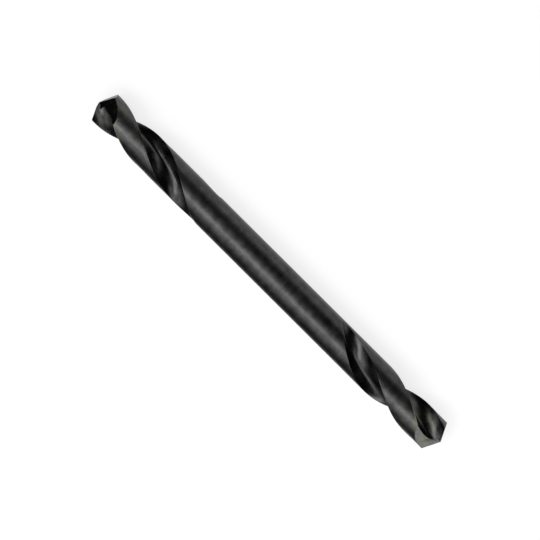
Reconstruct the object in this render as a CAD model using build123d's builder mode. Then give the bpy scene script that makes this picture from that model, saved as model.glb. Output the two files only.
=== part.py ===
from build123d import *
import os
from math import asin, cos, degrees, pi, radians, sin, sqrt, tan

# A double-ended twist drill: one bar of high-speed steel, with a right-hand pair of
# flutes and a split point ground on each end, and a plain shank between them.
# Sizes are in millimetres and angles in degrees. The bar's axis is X and its middle
# is the origin. Each end is worked out in a frame of its own, whose X runs from the
# tip into the bar and whose angles count from the outer corner of a cutting lip.

# the bar: it narrows very slightly from each point back to the shank
diameter = 4.2
overall_length = 55.0
back_taper = 0.01
shank_gap = 0.4
near_end_roll = -8.4
far_end_roll = -47.0

# the flutes and the lands between them
helix_angle = 28.7
web_thickness = 1.1
land_angle = 87.0
heel_lean = 8.0
full_flute_length = 9.2
runout_length = 8.6
margin_width = 0.42
body_clearance = 0.025
clearance_fade = 1.6

# the points
point_angle = 130.0
relief_angle = 10.0
notch_wall_angle = 33.0
notch_wall_heading = 116.0
notch_lip_heading = 68.0
notch_gap = 0.10

# how far the cutters reach past the bar, and how closely their sections follow
cutter_margin = 1.2
station_spacing = 0.9
rake_steps = 8

# values that follow from the ones above
radius = diameter / 2
shank_radius = radius - back_taper
flute_length = full_flute_length + runout_length
web_radius = web_thickness / 2
web_offset_angle = degrees(asin(web_radius / radius))
helix_slope = tan(radians(helix_angle))
lead = pi * diameter / helix_slope
lip_slope = 1 / tan(radians(point_angle / 2))
relief_slope = tan(radians(relief_angle))
lip_reach = sqrt(radius**2 - web_radius**2)
corner_depth = lip_slope * lip_reach - relief_slope * web_radius
flute_angle = 180 - land_angle
margin_angle = degrees(margin_width / radius)
cutter_radius = radius + cutter_margin
half_length = overall_length / 2
half_shank = half_length - flute_length - shank_gap


def polar(distance, angle):
    return (distance * cos(radians(angle)), distance * sin(radians(angle)))


def twist(depth):
    # the flutes turn once in each lead, and the lip's outer corner is at zero
    return 360 * (depth - corner_depth) / lead


def rake_angle(distance):
    # where one section meets the surface that a straight lip, half a web ahead of
    # the axis, leaves behind it as it runs down the helix
    rise = (lip_reach - sqrt(distance**2 - web_radius**2)) * lip_slope
    ahead = degrees(asin(web_radius / distance)) - web_offset_angle
    return degrees(rise * helix_slope / radius) - ahead


def wheel_lift(depth):
    # the grinding wheel leaves the bar along an arc
    cut_depth = radius - web_radius
    arc_radius = (runout_length**2 + cut_depth**2) / (2 * cut_depth)
    past = max(depth - full_flute_length, 0)
    return arc_radius - sqrt(arc_radius**2 - past**2)


def stations(start, end):
    count = max(round((end - start) / station_spacing), 4)
    return [start + (end - start) * step / count for step in range(count + 1)]


def section_plane(depth, lift=0.0, heading=0.0):
    # square to the axis, with the plane's own X towards the lip's corner
    turn = twist(depth)
    across, up = polar(lift, turn + heading)
    return Plane(origin=(depth, across, up), x_dir=(0, *polar(1, turn)), z_dir=(1, 0, 0))


flute_bottom = rake_angle(web_radius)
heel_corner = Vector(*polar(radius, -flute_angle))
heel_direction = Vector(*polar(1, -flute_angle - heel_lean))
heel_end = heel_corner + heel_direction * cutter_margin / 2

# one flute: the rake face of a straight lip, then the round side that ends in the heel
with BuildPart() as flute:
    for depth in stations(-cutter_margin, flute_length + station_spacing):
        with BuildSketch(section_plane(depth, wheel_lift(depth), flute_bottom)):
            with BuildLine():
                step = (cutter_radius - web_radius) / rake_steps
                reaches = [cutter_radius - step * count for count in range(rake_steps)]
                rake = Spline(
                    *[polar(reach, rake_angle(reach)) for reach in reaches],
                    polar(web_radius, flute_bottom),
                )
                heel = Spline(
                    rake @ 1, heel_corner, heel_end,
                    tangents=(polar(1, flute_bottom - 90), heel_direction),
                )
                Polyline(heel @ 1, polar(cutter_radius, -flute_angle / 2), rake @ 0)
            make_face()
    loft()

# behind its margin a land is ground back a little, so that only the margin rubs
with BuildPart() as land_relief:
    for depth in stations(-cutter_margin, full_flute_length + clearance_fade):
        fade = max(depth - full_flute_length, 0) / clearance_fade
        floor_radius = radius - body_clearance * (1 - 2 * fade)
        with BuildSketch(section_plane(depth)):
            with BuildLine():
                floor = CenterArc((0, 0), floor_radius, margin_angle, land_angle)
                roof = CenterArc((0, 0), cutter_radius, margin_angle, land_angle)
                Line(floor @ 0, roof @ 0)
                Line(floor @ 1, roof @ 1)
            make_face()
    loft()

# one flat flank: it falls outwards to the lip's corner, and backwards behind the lip
outward = Vector(0, *polar(lip_slope, web_offset_angle))
backward = Vector(0, *polar(relief_slope, web_offset_angle + 90))
flank_normal = outward + backward - Vector(1, 0, 0)
with BuildPart() as flank:
    with BuildSketch(Plane(origin=(0, 0, 0), z_dir=flank_normal)):
        Rectangle(4 * cutter_radius, 4 * cutter_radius)
    extrude(amount=2 * cutter_radius)

# the notch that splits the point: a slanting wall that takes the heel away, and an
# upright wall that gives the lip a short second edge, nearly to the axis
wall_slant = radians(notch_wall_angle)
wall_normal = Vector(-sin(wall_slant), *polar(cos(wall_slant), notch_wall_heading))
lip_normal = Vector(0, *polar(1, notch_lip_heading))
valley = lip_normal.cross(wall_normal).normalized()
along_wall = wall_normal.cross(valley)
valley_plane = Plane(origin=lip_normal * notch_gap, x_dir=along_wall, z_dir=valley)
notch_angle = 180 - wall_normal.get_angle(lip_normal)
with BuildPart() as notch:
    with BuildSketch(valley_plane):
        with BuildLine():
            wall_side = Line((0, 0), polar(4 * cutter_radius, 0))
            lip_side = Line((0, 0), polar(4 * cutter_radius, notch_angle))
            Line(wall_side @ 1, lip_side @ 1)
        make_face()
    extrude(amount=4 * cutter_radius, both=True)

half_turn = Location((0, 0, 0), (180, 0, 0))
near_end = Location((-half_length, 0, 0)) * Location((0, 0, 0), (near_end_roll, 0, 0))
far_tip = Location((half_length, 0, 0), (0, 0, 180))
far_end = far_tip * Location((0, 0, 0), (far_end_roll, 0, 0))

with BuildPart() as drill_bit:
    with BuildSketch(Plane.XY):
        with BuildLine():
            top = Polyline(
                (-half_length, radius), (-half_shank, shank_radius),
                (half_shank, shank_radius), (half_length, radius),
            )
            Polyline(top @ 0, (-half_length, 0), (half_length, 0), top @ 1)
        make_face()
    revolve(axis=Axis.X)
    with Locations(near_end, near_end * half_turn, far_end, far_end * half_turn):
        for cutter in (flute, land_relief, flank, notch):
            add(cutter.part, mode=Mode.SUBTRACT)

drill_bit.part.label = "drill_bit"
os.makedirs("parts", exist_ok=True)
export_step(drill_bit.part, "parts/drill_bit.step")
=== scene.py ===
import bmesh
import bpy
import numpy as np
from math import asin, cos, degrees, pi, radians, sin, sqrt, tan
from mathutils import Euler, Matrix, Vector


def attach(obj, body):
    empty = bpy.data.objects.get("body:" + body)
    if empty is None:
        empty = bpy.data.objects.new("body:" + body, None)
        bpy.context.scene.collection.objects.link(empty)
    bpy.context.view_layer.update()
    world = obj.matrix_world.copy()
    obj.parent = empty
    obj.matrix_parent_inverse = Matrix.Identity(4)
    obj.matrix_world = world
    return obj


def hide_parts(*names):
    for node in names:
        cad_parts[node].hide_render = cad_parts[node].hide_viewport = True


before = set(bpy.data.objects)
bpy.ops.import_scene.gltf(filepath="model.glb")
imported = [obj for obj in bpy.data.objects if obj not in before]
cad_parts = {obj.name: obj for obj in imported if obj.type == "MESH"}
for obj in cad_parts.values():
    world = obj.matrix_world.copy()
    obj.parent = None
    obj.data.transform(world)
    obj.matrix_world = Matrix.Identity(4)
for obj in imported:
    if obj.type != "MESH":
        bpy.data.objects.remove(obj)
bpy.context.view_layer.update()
mm = 0.001  # shapes are worked out in millimetres and stored in metres

# One bar of black drill steel: a plain shank with a fluted, split point ground on each end.
# Its axis is X and its middle is the origin. Each end has a frame of its own, whose X (depth)
# runs from the tip into the bar and whose angles count from the outer corner of a lip.
# Lengths are in millimetres and angles in degrees.
bitSizes = {
    "diameter": 4.2,
    "overallLength": 55.0,
    "backTaper": 0.01,
    "shankGap": 0.4,
    "nearEndRoll": -8.4,
    "farEndRoll": -47.0,
    "helixAngle": 28.7,
    "webThickness": 1.1,
    "landAngle": 87.0,
    "fullFluteLength": 9.2,
    "runoutLength": 8.6,
    "marginWidth": 0.42,
    "bodyClearance": 0.025,
    "clearanceFade": 0.8,
    "heelLean": 8.0,
    "heelStartPull": 1.9,  # how far the round side of a flute holds its first direction
    "heelEndPull": 1.6,
    "pointAngle": 130.0,
    "reliefAngle": 10.0,
    "notchWallAngle": 33.0,
    "notchWallHeading": 116.0,
    "notchLipHeading": 68.0,
    "notchGap": 0.10,
    "pastTip": 0.8,  # the bar is made this much too long before its points are ground
    "pastRim": 1.4,  # a rake face's outline starts this many radii from the axis
    "pastHeel": 1.05,  # and runs on this far past the heel
    "wheelReach": 13.0,
    "marginStep": 0.006,  # the share of a land over which the clearance falls away
    "cornerLoss": 0.2,  # the share by which a land's edge moves to each of its neighbours
    "settleShare": 1 / 3,  # the share of the shank in which its columns even out
    "sharpAngle": 30,
    "flankFacing": 0.8,  # a face that looks along the axis by more than this is a flank
    "notchNearly": 0.01,  # and one within this of a notch's slanting wall is part of it
    "outlineSteps": 500,  # how finely the surface is worked out, from here on
    "pastSteps": 40,
    "outlinePoints": 1600,
    "rowSpacing": 0.13,
    "runoutRows": 60,
    "runoutNearly": 0.93,
    "shankRows": 60,
    "landColumns": 30,
    "landEdge": 0.012,  # the share of a land, and of a flute, that its outermost columns take
    "fluteColumns": 52,
    "fluteEdge": 0.008,
}

radius = bitSizes["diameter"] / 2
halfLength = bitSizes["overallLength"] / 2
fluteLength = bitSizes["fullFluteLength"] + bitSizes["runoutLength"]
halfShank = halfLength - fluteLength - bitSizes["shankGap"]
webRadius = bitSizes["webThickness"] / 2
webOffsetAngle = degrees(asin(webRadius / radius))
helixSlope = tan(radians(bitSizes["helixAngle"]))
lead = 2 * pi * radius / helixSlope
lipSlope = 1 / tan(radians(bitSizes["pointAngle"] / 2))
reliefSlope = tan(radians(bitSizes["reliefAngle"]))
lipReach = sqrt(radius**2 - webRadius**2)
cornerDepth = lipSlope * lipReach - reliefSlope * webRadius
cutDepth = radius - webRadius
print("drill bit:", round(2 * halfLength, 2), "mm long,", round(2 * radius, 2), "mm across")


# a point at a distance and an angle: (distance times cosine, distance times sine)
def polar(distance, angle):
    turn = np.radians(angle)
    return np.stack([distance * np.cos(turn), distance * np.sin(turn)], -1)


# smooth step: 3 s squared less 2 s cubed, with s held between 0 and 1
def ease(share):
    held = np.clip(share, 0, 1)
    return held * held * (3 - 2 * held)


# the bar's radius: the shank's, plus a rise in proportion to the distance past the shank
def barRadius(x):
    past = np.maximum(np.abs(x) - halfShank, 0) / (halfLength - halfShank)
    return radius - bitSizes["backTaper"] * (1 - past)


# the flutes turn once in each lead, and the lip's outer corner is at zero
def twist(depth):
    return 360 * (depth - cornerDepth) / lead


# where a section meets the face that a straight lip, half a web ahead of the axis, leaves
# behind it down the helix: the turn for the lip's rise, less the lip's own angle ahead
def rakeAngle(distance):
    inner = np.sqrt(np.maximum(distance**2 - webRadius**2, 0))
    rise = (lipReach - inner) * lipSlope
    ahead = np.degrees(np.arcsin(webRadius / distance)) - webOffsetAngle
    return np.degrees(rise * helixSlope / radius) - ahead


# the wheel leaves the bar along an arc: its radius less the square root of
# (radius squared less the way past the full flutes, squared)
def wheelLift(depth):
    runout = bitSizes["runoutLength"]
    arc = (runout**2 + cutDepth**2) / (2 * cutDepth)
    past = np.clip(depth - bitSizes["fullFluteLength"], 0, runout)
    return arc - np.sqrt(arc**2 - past**2)


fluteBottom = float(rakeAngle(webRadius))


# one flute's outline from past the lip's corner to past the heel: the rake face as distance
# falls to the web, then a cubic Hermite curve out to the heel, and a straight run past it,
# all of it divided evenly by its length
def fluteOutline():
    steps = np.linspace(0, 1, bitSizes["outlineSteps"])
    distance = webRadius + (radius * bitSizes["pastRim"] - webRadius) * (1 - steps) ** 2
    rake = polar(distance, rakeAngle(distance))
    t = steps[1:, None]
    start = polar(webRadius, fluteBottom)
    end = polar(radius, bitSizes["landAngle"] - 180)
    endWay = polar(1.0, bitSizes["landAngle"] - 180 - bitSizes["heelLean"])
    startPull = polar(bitSizes["heelStartPull"], fluteBottom - 90)
    endPull = endWay * bitSizes["heelEndPull"]
    heel = (
        (2 * t**3 - 3 * t**2 + 1) * start + (t**3 - 2 * t**2 + t) * startPull
        + (3 * t**2 - 2 * t**3) * end + (t**3 - t**2) * endPull
    )
    beyond = end + endWay * np.linspace(0, bitSizes["pastHeel"], bitSizes["pastSteps"])[1:, None]
    line = np.concatenate([rake, heel, beyond])
    along = np.concatenate([[0], np.cumsum(np.hypot(*np.diff(line, axis=0).T))])
    even = np.linspace(0, along[-1], bitSizes["outlinePoints"])
    return np.stack([np.interp(even, along, line[:, 0]), np.interp(even, along, line[:, 1])], -1)


# shares of a stretch, closer together towards its two ends: halfway between even shares and
# (1 - cosine) / 2, with one more share at each end
def crowded(count, edge):
    even = np.linspace(0, 1, count)
    inner = (even + (1 - np.cos(pi * even)) / 2) / 2
    return np.concatenate([[0], edge + (1 - 2 * edge) * inner, [1]])


marginShare = degrees(bitSizes["marginWidth"] / radius) / bitSizes["landAngle"]
stepEnds = marginShare + bitSizes["marginStep"] * np.array([-0.5, 0.5])
landShares = np.sort(np.append(crowded(bitSizes["landColumns"], bitSizes["landEdge"]), stepEnds))
fluteShares = crowded(bitSizes["fluteColumns"], bitSizes["fluteEdge"])


# one half of each section, from a lip's corner over the land, down the heel side of the next
# flute and up its rake face: an arc between the two edges, then the flute's outline, moved
# out by the wheel's lift and cut off where it leaves the bar
def halfSections(depth):
    limit = barRadius(halfLength - depth)
    lifted = fluteOutline() + wheelLift(depth)[:, None, None] * polar(1.0, fluteBottom)
    reach = np.hypot(lifted[..., 0], lifted[..., 1])
    inside = reach < limit[:, None]
    rows = np.arange(len(depth))
    first = inside.argmax(1)
    last = reach.shape[1] - 1 - inside[:, ::-1].argmax(1)
    start = first - (limit - reach[rows, first]) / (reach[rows, first - 1] - reach[rows, first])
    end = last + (limit - reach[rows, last]) / (reach[rows, last + 1] - reach[rows, last])
    place = end[:, None] + (start - end)[:, None] * fluteShares
    lower = np.floor(place).astype(int)
    part = (place - lower)[..., None]
    flute = -(lifted[rows[:, None], lower] * (1 - part) + lifted[rows[:, None], lower + 1] * part)
    leadAngle = np.degrees(np.arctan2(-flute[:, -1, 1], -flute[:, -1, 0]))[:, None]
    heelAngle = np.degrees(np.arctan2(flute[:, 0, 1], flute[:, 0, 0]))[:, None]
    fade = 1 - ease((depth - bitSizes["fullFluteLength"]) / bitSizes["clearanceFade"])
    step = ease((landShares - stepEnds[0]) / bitSizes["marginStep"])
    drop = bitSizes["bodyClearance"] * fade[:, None] * step
    land = polar(limit[:, None] - drop, leadAngle + (heelAngle - leadAngle) * landShares)
    return np.concatenate([land[:, :-1], flute[:, :-1]], 1)


# the land's two edges lose a little of their corner: each point there becomes the mean of
# itself and its two neighbours, weighed by the loss
def softenEdges(half):
    before, after = np.roll(half, 1, 1), np.roll(half, -1, 1)
    before[:, 0] = -half[:, -1]
    edges = [0, len(landShares) - 1]
    loss = bitSizes["cornerLoss"]
    half[:, edges] = (1 - 2 * loss) * half[:, edges] + loss * (before[:, edges] + after[:, edges])


# one end's rows from past its tip to the end of its run-out: each half section and its half
# turn, turned by the twist at its depth
def endRows():
    past = 1 - (1 - np.linspace(0, bitSizes["runoutNearly"], bitSizes["runoutRows"])) ** 2
    depth = np.concatenate([
        np.arange(-bitSizes["pastTip"], bitSizes["fullFluteLength"], bitSizes["rowSpacing"]),
        bitSizes["fullFluteLength"] + bitSizes["runoutLength"] * past,
    ])
    half = halfSections(depth)
    softenEdges(half)
    section = np.concatenate([half, -half], 1)
    turn = np.radians(twist(depth))[:, None]
    across = section[..., 0] * np.cos(turn) - section[..., 1] * np.sin(turn)
    up = section[..., 0] * np.sin(turn) + section[..., 1] * np.cos(turn)
    return np.stack([np.broadcast_to(depth[:, None], across.shape), across, up], -1)


# one end's place: turned about the axis by its roll, moved to its tip, and for the far end
# turned half round about the vertical
def placed(points, roll, isFar, halfTurn=False):
    turn = radians(roll) + (pi if halfTurn else 0)
    x = points[..., 0] - halfLength
    across = points[..., 1] * cos(turn) - points[..., 2] * sin(turn)
    up = points[..., 1] * sin(turn) + points[..., 2] * cos(turn)
    return np.stack([-x, -across, up] if isFar else [x, across, up], -1)


# the angle of each point about the axis
def axisAngle(points):
    return np.arctan2(points[..., 2], points[..., 1])


# the rows between the two run-outs lie on the bar: each column's angle eases from where the
# first run-out left it to an even spacing, and from there to where the other one begins
def shankRows(start, finish):
    startAngle, finishAngle = np.unwrap(axisAngle(start)), np.unwrap(axisAngle(finish))
    finishAngle += 2 * pi * round((startAngle.mean() - finishAngle.mean()) / (2 * pi))
    share = ease(np.linspace(0, 1, bitSizes["shankRows"]))[1:-1, None]
    spread = (np.arange(len(start)) + 0.5) / len(start) * 2 * pi - pi
    middle = spread + startAngle.mean() * (1 - share) + finishAngle.mean() * share
    near = 1 - ease(share / bitSizes["settleShare"])
    far = 1 - ease((1 - share) / bitSizes["settleShare"])
    angle = near * startAngle + far * finishAngle + (1 - near - far) * middle
    x = start[0, 0] + (finish[0, 0] - start[0, 0]) * share
    distance = barRadius(x)
    across, up = distance * np.cos(angle), distance * np.sin(angle)
    return np.stack([np.broadcast_to(x, angle.shape), across, up], -1)


# the far end's rows and columns in the near end's order, its columns rolled to where the sum
# of their distances from the near end's, round a circle, is least
def matched(start, rows):
    flipped = rows[::-1, ::-1]
    columns = np.arange(len(start))
    rolled = axisAngle(flipped[0])[columns - columns[:, None]]
    gaps = np.abs(np.exp(1j * rolled) - np.exp(1j * axisAngle(start))).sum(1)
    return np.roll(flipped, int(np.argmin(gaps)), 1)


# an object of its own, from points in millimetres and the faces that join them
def meshObject(name, points, faces):
    mesh = bpy.data.meshes.new(name)
    mesh.from_pydata((points * mm).tolist(), [], faces)
    mesh.validate()
    piece = bpy.data.objects.new(name, mesh)
    bpy.context.scene.collection.objects.link(piece)
    return piece


# a closed grid: quads between neighbouring rows and columns, and one face on each end
def gridObject(name, grid):
    rows, columns = grid.shape[:2]
    index = np.arange(rows * columns).reshape(rows, columns)
    beside = np.roll(index, -1, 1)
    quads = np.stack([index[:-1], index[1:], beside[1:], beside[:-1]], -1).reshape(-1, 4)
    faces = quads.tolist() + [index[0].tolist(), index[-1, ::-1].tolist()]
    return meshObject(name, grid.reshape(-1, 3), faces)


# a prism's points: its outline, and the same outline moved by a vector
def prismPoints(outline, move):
    outline = np.array(outline, float)
    return np.concatenate([outline, outline + move])


# a prism: its two ends, and a quad from each side of the outline to the same side moved
def prismObject(name, points):
    count = len(points) // 2
    sides = [[i, (i + 1) % count, count + (i + 1) % count, count + i] for i in range(count)]
    faces = [list(range(count))[::-1], list(range(count, 2 * count))] + sides
    return meshObject(name, points, faces)


# a vector of length one: the vector divided by its length
def unit(vector):
    return np.array(vector, float) / np.linalg.norm(vector)


# a flat flank: the space in front of a plane through the tip, which falls outwards to the
# lip's corner and backwards behind the lip
def flankPoints():
    slopes = polar(lipSlope, webOffsetAngle) + polar(reliefSlope, webOffsetAngle + 90)
    normal = unit([-1, *slopes])
    side = unit(np.cross(normal, [0, 0, 1]))
    other = np.cross(normal, side)
    reach = bitSizes["wheelReach"]
    corners = [side * reach, other * reach, -side * reach, -other * reach]
    return prismPoints(corners, normal * reach)


# the notch that splits the point: a wedge between a slanting wall that takes the heel away
# and an upright wall that gives the lip a second edge, nearly to the axis
def notchPoints():
    slant = radians(bitSizes["notchWallAngle"])
    wallNormal = np.array([-sin(slant), *polar(cos(slant), bitSizes["notchWallHeading"])])
    lipNormal = np.array([0, *polar(1.0, bitSizes["notchLipHeading"])])
    valley = unit(np.cross(lipNormal, wallNormal))
    alongWall = np.cross(wallNormal, valley)
    alongLip = np.cross(valley, lipNormal)
    reach = bitSizes["wheelReach"]
    apex = lipNormal * bitSizes["notchGap"] - valley * reach / 2
    return prismPoints([apex, apex + alongWall * reach, apex + alongLip * reach], valley * reach)


# takes a wheel's space out of the bar, and the wheel out of the scene
def grind(bar, wheel):
    normals = bmesh.new()
    normals.from_mesh(wheel.data)
    bmesh.ops.recalc_face_normals(normals, faces=normals.faces)
    normals.to_mesh(wheel.data)
    normals.free()
    cut = bar.modifiers.new("cut", "BOOLEAN")
    cut.operation, cut.solver, cut.object = "DIFFERENCE", "EXACT", wheel
    depsgraph = bpy.context.evaluated_depsgraph_get()
    ground = bpy.data.meshes.new_from_object(bar.evaluated_get(depsgraph))
    bar.modifiers.clear()
    bar.data = ground
    bpy.data.objects.remove(wheel)


# a value of each of a mesh's items, or a row of as many values as width says, in one array
def readValues(items, name, kind, width=1):
    values = np.empty(len(items) * width, kind)
    items.foreach_get(name, values)
    return values.reshape(-1, width) if width > 1 else values


# one number for each of a mesh's items, kept under a name by which its material reads it
def writeValues(mesh, name, domain, values):
    mesh.attributes.new(name, "FLOAT", domain).data.foreach_set("value", values.astype(float))


# 1 at the ends of every sharp edge that stands out, such as a lip or a land's edge, else 0: an
# edge stands out where the second face's middle lies below the first face
def markEdges(mesh):
    counts = readValues(mesh.polygons, "loop_total", int)
    normals = readValues(mesh.polygons, "normal", float, 3)
    centers = readValues(mesh.polygons, "center", float, 3)
    ends = readValues(mesh.edges, "vertices", int, 2)
    loopEdge = readValues(mesh.loops, "edge_index", int)
    order = np.argsort(loopEdge, kind="stable")
    first = np.searchsorted(loopEdge[order], np.arange(len(ends)))
    loopFace = np.repeat(np.arange(len(counts)), counts)[order]
    one, other = loopFace[first], loopFace[first + 1]
    bend = (normals[one] * normals[other]).sum(1) < cos(radians(bitSizes["sharpAngle"]))
    out = ((centers[other] - centers[one]) * normals[one]).sum(1) < 0
    worn = np.zeros(len(mesh.vertices))
    worn[ends[bend & out]] = 1
    writeValues(mesh, "edgeWear", "POINT", worn)


# 1 on the faces of a flank and of a notch's slanting wall, else 0, by how far a face's normal
# looks along the axis
def markPoints(mesh):
    along = np.abs(readValues(mesh.polygons, "normal", float, 3)[:, 0])
    wallAlong = sin(radians(bitSizes["notchWallAngle"]))
    writeValues(mesh, "flank", "FACE", along > bitSizes["flankFacing"])
    writeValues(mesh, "notch", "FACE", np.abs(along - wallAlong) < bitSizes["notchNearly"])


# the bar is one closed grid from end to end, from which the wheels then grind both points
def buildDrillBit():
    rows = endRows()
    near = placed(rows, bitSizes["nearEndRoll"], False)
    far = matched(near[-1], placed(rows, bitSizes["farEndRoll"], True))
    grid = np.concatenate([near, shankRows(near[-1], far[0]), far])
    print("drill bit: grid of", grid.shape[0], "rows and", grid.shape[1], "columns")
    bar = gridObject("drillBit", grid)
    for isFar, roll in ((False, bitSizes["nearEndRoll"]), (True, bitSizes["farEndRoll"])):
        for points in (flankPoints(), notchPoints()):
            for halfTurn in (False, True):
                grind(bar, prismObject("wheel", placed(points, roll, isFar, halfTurn)))
    bar.data.set_sharp_from_angle(angle=radians(bitSizes["sharpAngle"]))
    markEdges(bar.data)
    markPoints(bar.data)
    print("drill bit:", len(bar.data.polygons), "faces after grinding the points")
    return bar


drillBit = buildDrillBit()
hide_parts("drill_bit")
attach(drillBit, "root")

# sockets of a Mix node in its colour mode, by place, because its number sockets share names
mixFirst, mixSecond, mixResult = 6, 7, 2


# one socket of a material, with arithmetic: an expression on sockets and numbers adds its
# Math nodes, and node() adds any other node from its type, its settings and its sockets' values
class Wire:
    def __init__(self, tree, socket=None):
        self.tree, self.socket = tree, socket

    def node(self, kind, settings, values, output=0):
        made = self.tree.nodes.new(kind)
        for name, value in settings.items():
            setattr(made, name, value)
        pairs = values.items() if isinstance(values, dict) else enumerate(values)
        for place, value in pairs:
            if isinstance(value, Wire):
                self.tree.links.new(value.socket, made.inputs[place])
            else:
                made.inputs[place].default_value = value
        return Wire(self.tree, made.outputs[output])

    def math(self, operation, *values):
        return self.node("ShaderNodeMath", {"operation": operation}, values)

    def other(self, name):
        return Wire(self.tree, self.socket.node.outputs[name])

    def into(self, node, name):
        self.tree.links.new(self.socket, node.inputs[name])

    def __add__(self, other):
        return self.math("ADD", self, other)

    def __sub__(self, other):
        return self.math("SUBTRACT", self, other)

    def __rsub__(self, other):
        return self.math("SUBTRACT", other, self)

    def __mul__(self, other):
        return self.math("MULTIPLY", self, other)

    def __pow__(self, other):
        return self.math("POWER", self, other)

    __radd__ = __add__
    __rmul__ = __mul__


# an empty material, a wire to make its nodes with, and its output
def newMaterial(name):
    material = bpy.data.materials.new(name)
    material.use_nodes = True
    tree = material.node_tree
    tree.nodes.clear()
    return material, Wire(tree), tree.nodes.new("ShaderNodeOutputMaterial")


# grey noise about zero, with one wave to each unit of the place that it reads
def noise(x, y, z, detail):
    place = x.node("ShaderNodeCombineXYZ", {}, [x, y, z])
    return x.node("ShaderNodeTexNoise", {}, {"Vector": place, "Scale": 1.0, "Detail": detail}) - 0.5


# 0 below the low value, 1 above the high one, and a smooth step between them
def smoothed(value, low, high):
    return value.node("ShaderNodeMapRange", {"interpolation_type": "SMOOTHSTEP"},
                      {"Value": value, "From Min": low, "From Max": high})


# a colour or vector times a number
def scaled(vector, factor):
    return vector.node("ShaderNodeVectorMath", {"operation": "SCALE"},
                       {"Vector": vector, "Scale": factor})


# black oxide on ground high-speed steel. Patterns are sized in millimetres: rings left by the
# centreless grinder on the bar, lines left by the wheel along the flutes, blotches and specks
# of the oxide, painted shade that darkens the flutes and the notches' walls, and a lighter
# colour near the points with faintly olive patches
steelLook = {
    "oxide": (0.052, 0.052, 0.052),
    "warmed": (0.054, 0.054, 0.045),
    "warmPatches": (-0.04, 0.08),
    "roughness": 0.38,
    "fluteRoughness": 0.26,
    "fluteShadeShare": 0.85,
    "fluteDepth": (0.03, 0.16),  # the flutes' painted shade, lower roughness and lengthwise lines come in between these depths under the bar's round
    "pointGain": 0.30,
    "pointFrom": 19.5,  # how far from the bar's middle the colour starts to turn lighter and faintly olive towards the points
    "pointTo": 24.0,
    "flankGain": 0.40,
    "notchShadeShare": 0.50,
    "ringsPerMm": 6.0,
    "linesPerMm": 8.0,
    "driftPerMm": 0.2,  # how soon a ring changes across the bar, and a line along it
    "grainDetail": 3.0,
    "blotchesPerMm": 1.1,
    "blotchDetail": 4.0,
    "specksPerMm": 10.0,
    "speckDetail": 1.0,
    "grainColor": 0.50,
    "blotchColor": 1.50,
    "speckColor": 0.70,
    "grainRoughness": 0.14,
    "blotchRoughness": 0.16,
    "grainHeight": 0.0007,
    "speckHeight": 0.0005,
    "wornEdge": 0.9,  # how much lighter the cutting edges and the lands' edges are rubbed
}


# the colour is the oxide's times 1 plus the patterns, times a factor for each kind of surface
def blackSteel():
    look = steelLook
    material, make, output = newMaterial("blackSteel")
    meters = make.node("ShaderNodeTexCoord", {}, {}, "Object")
    x = make.node("ShaderNodeSeparateXYZ", {}, [scaled(meters, 1 / mm)])
    y, z = x.other("Y"), x.other("Z")
    flank = make.node("ShaderNodeAttribute", {"attribute_name": "flank"}, {}, "Fac")
    notch = make.node("ShaderNodeAttribute", {"attribute_name": "notch"}, {}, "Fac")
    worn = make.node("ShaderNodeAttribute", {"attribute_name": "edgeWear"}, {}, "Fac")
    flute = smoothed(radius - (y * y + z * z) ** 0.5, *look["fluteDepth"]) * (1 - flank)
    point = smoothed(make.math("ABSOLUTE", x), look["pointFrom"], look["pointTo"])

    # the section turned back by the twist, in which a flute stands still along the bar
    turn = x * (2 * pi / lead)
    cosine, sine = make.math("COSINE", turn), make.math("SINE", turn)
    stillY, stillZ = y * cosine + z * sine, z * cosine - y * sine
    drift, across = look["driftPerMm"], look["linesPerMm"]
    rings = noise(x * look["ringsPerMm"], y * drift, z * drift, look["grainDetail"])
    lines = noise(x * drift, stillY * across, stillZ * across, look["grainDetail"])
    grain = rings * (1 - flute) + lines * flute
    blotches = noise(*[part * look["blotchesPerMm"] for part in (x, y, z)], look["blotchDetail"])
    specks = noise(*[part * look["specksPerMm"] for part in (x, y, z)], look["speckDetail"])

    shade = 1 + grain * look["grainColor"] + blotches * look["blotchColor"]
    shade = shade + specks * look["speckColor"]
    # painted shade: the colour in the flutes is darkened to the flute share, standing in for the
    # shade in them
    shade = shade * (1 - flute * (1 - look["fluteShadeShare"]))
    shade = shade * (1 + point * (1 - flute) * (1 - flank) * look["pointGain"])
    # the flanks lighter, and painted shade: the notches' slanting walls are darkened to the notch
    # share
    shade = shade * (1 + flank * look["flankGain"]) * (1 - notch * (1 - look["notchShadeShare"]))
    shade = shade * (1 + worn * look["wornEdge"])
    warmth = point * smoothed(blotches, *look["warmPatches"])
    skin = make.node("ShaderNodeMix", {"data_type": "RGBA"}, {
        "Factor": warmth, mixFirst: (*look["oxide"], 1), mixSecond: (*look["warmed"], 1),
    }, mixResult)
    roughness = look["roughness"] + flute * (look["fluteRoughness"] - look["roughness"])
    roughness = roughness + grain * look["grainRoughness"] + blotches * look["blotchRoughness"]
    height = grain * look["grainHeight"] + specks * look["speckHeight"]
    shader = make.node("ShaderNodeBsdfPrincipled", {}, {
        "Base Color": scaled(skin, shade), "Metallic": 1.0, "Roughness": roughness,
        "Normal": make.node("ShaderNodeBump", {}, {"Distance": mm, "Height": height}),
    })
    shader.into(output, "Surface")
    return material


drillBit.data.materials.clear()
drillBit.data.materials.append(blackSteel())
print("materials: black steel")


# a level sheet facing up: a rectangle from one corner to the other at a height, in millimetres
def levelSheet(name, low, high, height):
    corners = [(low[0], low[1]), (high[0], low[1]), (high[0], high[1]), (low[0], high[1])]
    points = np.array([[*corner, height] for corner in corners])
    return meshObject(name, points, [[0, 1, 2, 3]])


# the floor the bar lies on: white to the camera and in reflections, pale to other light, and
# it keeps the shadow. It reaches this many millimetres each way
floorLook = {"reach": 1500, "color": 0.30, "glow": 0.79}


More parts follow.
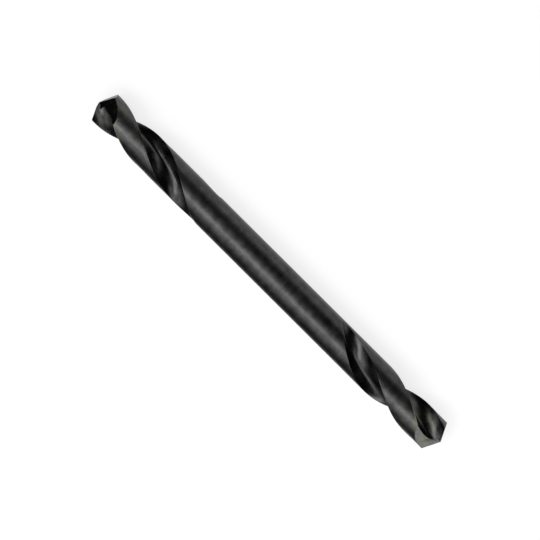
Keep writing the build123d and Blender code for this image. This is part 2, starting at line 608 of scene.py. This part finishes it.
def buildFloor():
    reach = floorLook["reach"]
    floor = levelSheet("floor", (-reach, -reach), (reach, reach), -radius)
    material, make, output = newMaterial("paleFloor")
    pale = make.node("ShaderNodeBsdfDiffuse", {}, {"Color": (*[floorLook["color"]] * 3, 1)})
    seen = make.node("ShaderNodeLightPath", {}, {}, "Is Camera Ray")
    seen = seen + seen.other("Is Glossy Ray") + seen.other("Is Transmission Ray")
    glow = make.node("ShaderNodeEmission", {}, {"Strength": seen * floorLook["glow"]})
    make.node("ShaderNodeAddShader", {}, [pale, glow]).into(output, "Surface")
    floor.data.materials.append(material)


buildFloor()

# a dark card on the floor beside the bar, which only reflections show and which casts no shadow: a
# painted dark reflection along the bar's side. Sizes in millimetres
darkReflectionLook = {"from": 4, "to": 300, "reach": 300, "lift": 0.2, "color": 0.12}


def buildDarkReflectionCard():
    low, high = (-darkReflectionLook["reach"], -darkReflectionLook["to"]), (darkReflectionLook["reach"], -darkReflectionLook["from"])
    card = levelSheet("darkReflectionCard", low, high, darkReflectionLook["lift"] - radius)
    material, make, output = newMaterial("darkReflectionCard")
    black = make.node("ShaderNodeBsdfDiffuse", {}, {"Color": (*[darkReflectionLook["color"]] * 3, 1)})
    black.into(output, "Surface")
    card.data.materials.append(material)
    card.visible_camera = card.visible_diffuse = card.visible_shadow = False


buildDarkReflectionCard()

# soft boxes round the bar, each facing it from the same distance: lean is from the vertical
# and heading from +X towards +Y, both in degrees; width runs level, glow is its radiance, and
# the distance and the sizes are in metres
boxDistance = 0.4
softBoxes = {
    "key": {"lean": 31, "heading": -100, "width": 0.26, "height": 0.15, "glow": 5.3},
    "keyLeft": {"lean": 22, "heading": -160, "width": 0.16, "height": 0.14, "glow": 3.2},
    "crown": {"lean": 20, "heading": -20, "width": 0.12, "height": 0.12, "glow": 1.8},
    "quarter": {"lean": 40, "heading": -42, "width": 0.18, "height": 0.16, "glow": 2.5},
    "frontLeft": {"lean": 52, "heading": -135, "width": 0.14, "height": 0.14, "glow": 1.4},
    "outer": {"lean": 56, "heading": -84, "width": 0.26, "height": 0.14, "glow": 2.0},
    "low": {"lean": 76, "heading": -95, "width": 0.30, "height": 0.12, "glow": 0.6},
    "side": {"lean": 74, "heading": -33, "width": 0.14, "height": 0.14, "glow": 4.4},
    "sideLow": {"lean": 86, "heading": -30, "width": 0.24, "height": 0.12, "glow": 3.2},
    "back": {"lean": 56, "heading": 92, "width": 0.24, "height": 0.12, "glow": 0.3},
    "backWall": {"lean": 77, "heading": 92, "width": 0.34, "height": 0.20, "glow": 1.4},
}


# an area light's energy is its radiance times pi times its area
def buildSoftBox(name, lean, heading, width, height, glow):
    data = bpy.data.lights.new(name, "AREA")
    data.shape, data.size, data.size_y = "RECTANGLE", width, height
    data.energy = glow * pi * width * height
    lamp = bpy.data.objects.new(name, data)
    turned = Euler((0, radians(lean), radians(heading))).to_matrix()
    lamp.location = turned @ Vector((0, 0, boxDistance))
    lamp.rotation_euler = lamp.location.to_track_quat("Z", "Y").to_euler()
    bpy.context.scene.collection.objects.link(lamp)


for boxName, facts in softBoxes.items():
    buildSoftBox(boxName, **facts)

# the room is white to the camera and nearly dark to everything else
roomLook = {"seen": 1.0, "glow": 0.03}


def buildRoom():
    world = bpy.data.worlds.new("room")
    world.use_nodes = True
    background = world.node_tree.nodes["Background"]
    background.inputs["Color"].default_value = (1, 1, 1, 1)
    seen = Wire(world.node_tree).node("ShaderNodeLightPath", {}, {}, "Is Camera Ray")
    strength = seen * (roomLook["seen"] - roomLook["glow"]) + roomLook["glow"]
    strength.into(background, "Strength")
    bpy.context.scene.world = world


buildRoom()
bpy.context.scene.view_settings.view_transform = "Standard"

# the camera looks straight down on the bar, which runs from the upper left to the lower right
# of a square frame: scale is in pixels to the millimetre, and center is the bar's middle
view = {
    "heading": 44.87,
    "lens": 200.0,
    "pixels": 540,
    "scale": 8.755,
    "center": (270.08, 271.94),
    "clip": (0.01, 10),
}


# its height is the width that the frame shows, times the lens, over the sensor's width, and
# it moves sideways by what the bar's middle is away from the frame's
def buildCamera():
    data = bpy.data.cameras.new("camera")
    data.lens = view["lens"]
    data.clip_start, data.clip_end = view["clip"]
    across = view["pixels"] / view["scale"] * mm
    height = across * view["lens"] / data.sensor_width
    turn = radians(view["heading"])
    right, up = Vector((cos(turn), sin(turn), 0)), Vector((-sin(turn), cos(turn), 0))
    middle = view["pixels"] / 2
    shift = (middle - view["center"][0]) * right - (middle - view["center"][1]) * up
    camera = bpy.data.objects.new("camera", data)
    camera.location = Vector((0, 0, height)) + shift * mm / view["scale"]
    camera.rotation_euler = (0, 0, turn)
    bpy.context.scene.collection.objects.link(camera)
    bpy.context.scene.camera = camera


buildCamera()
bpy.context.view_layer.update()
print("stage: floor, card, soft boxes, room and camera")
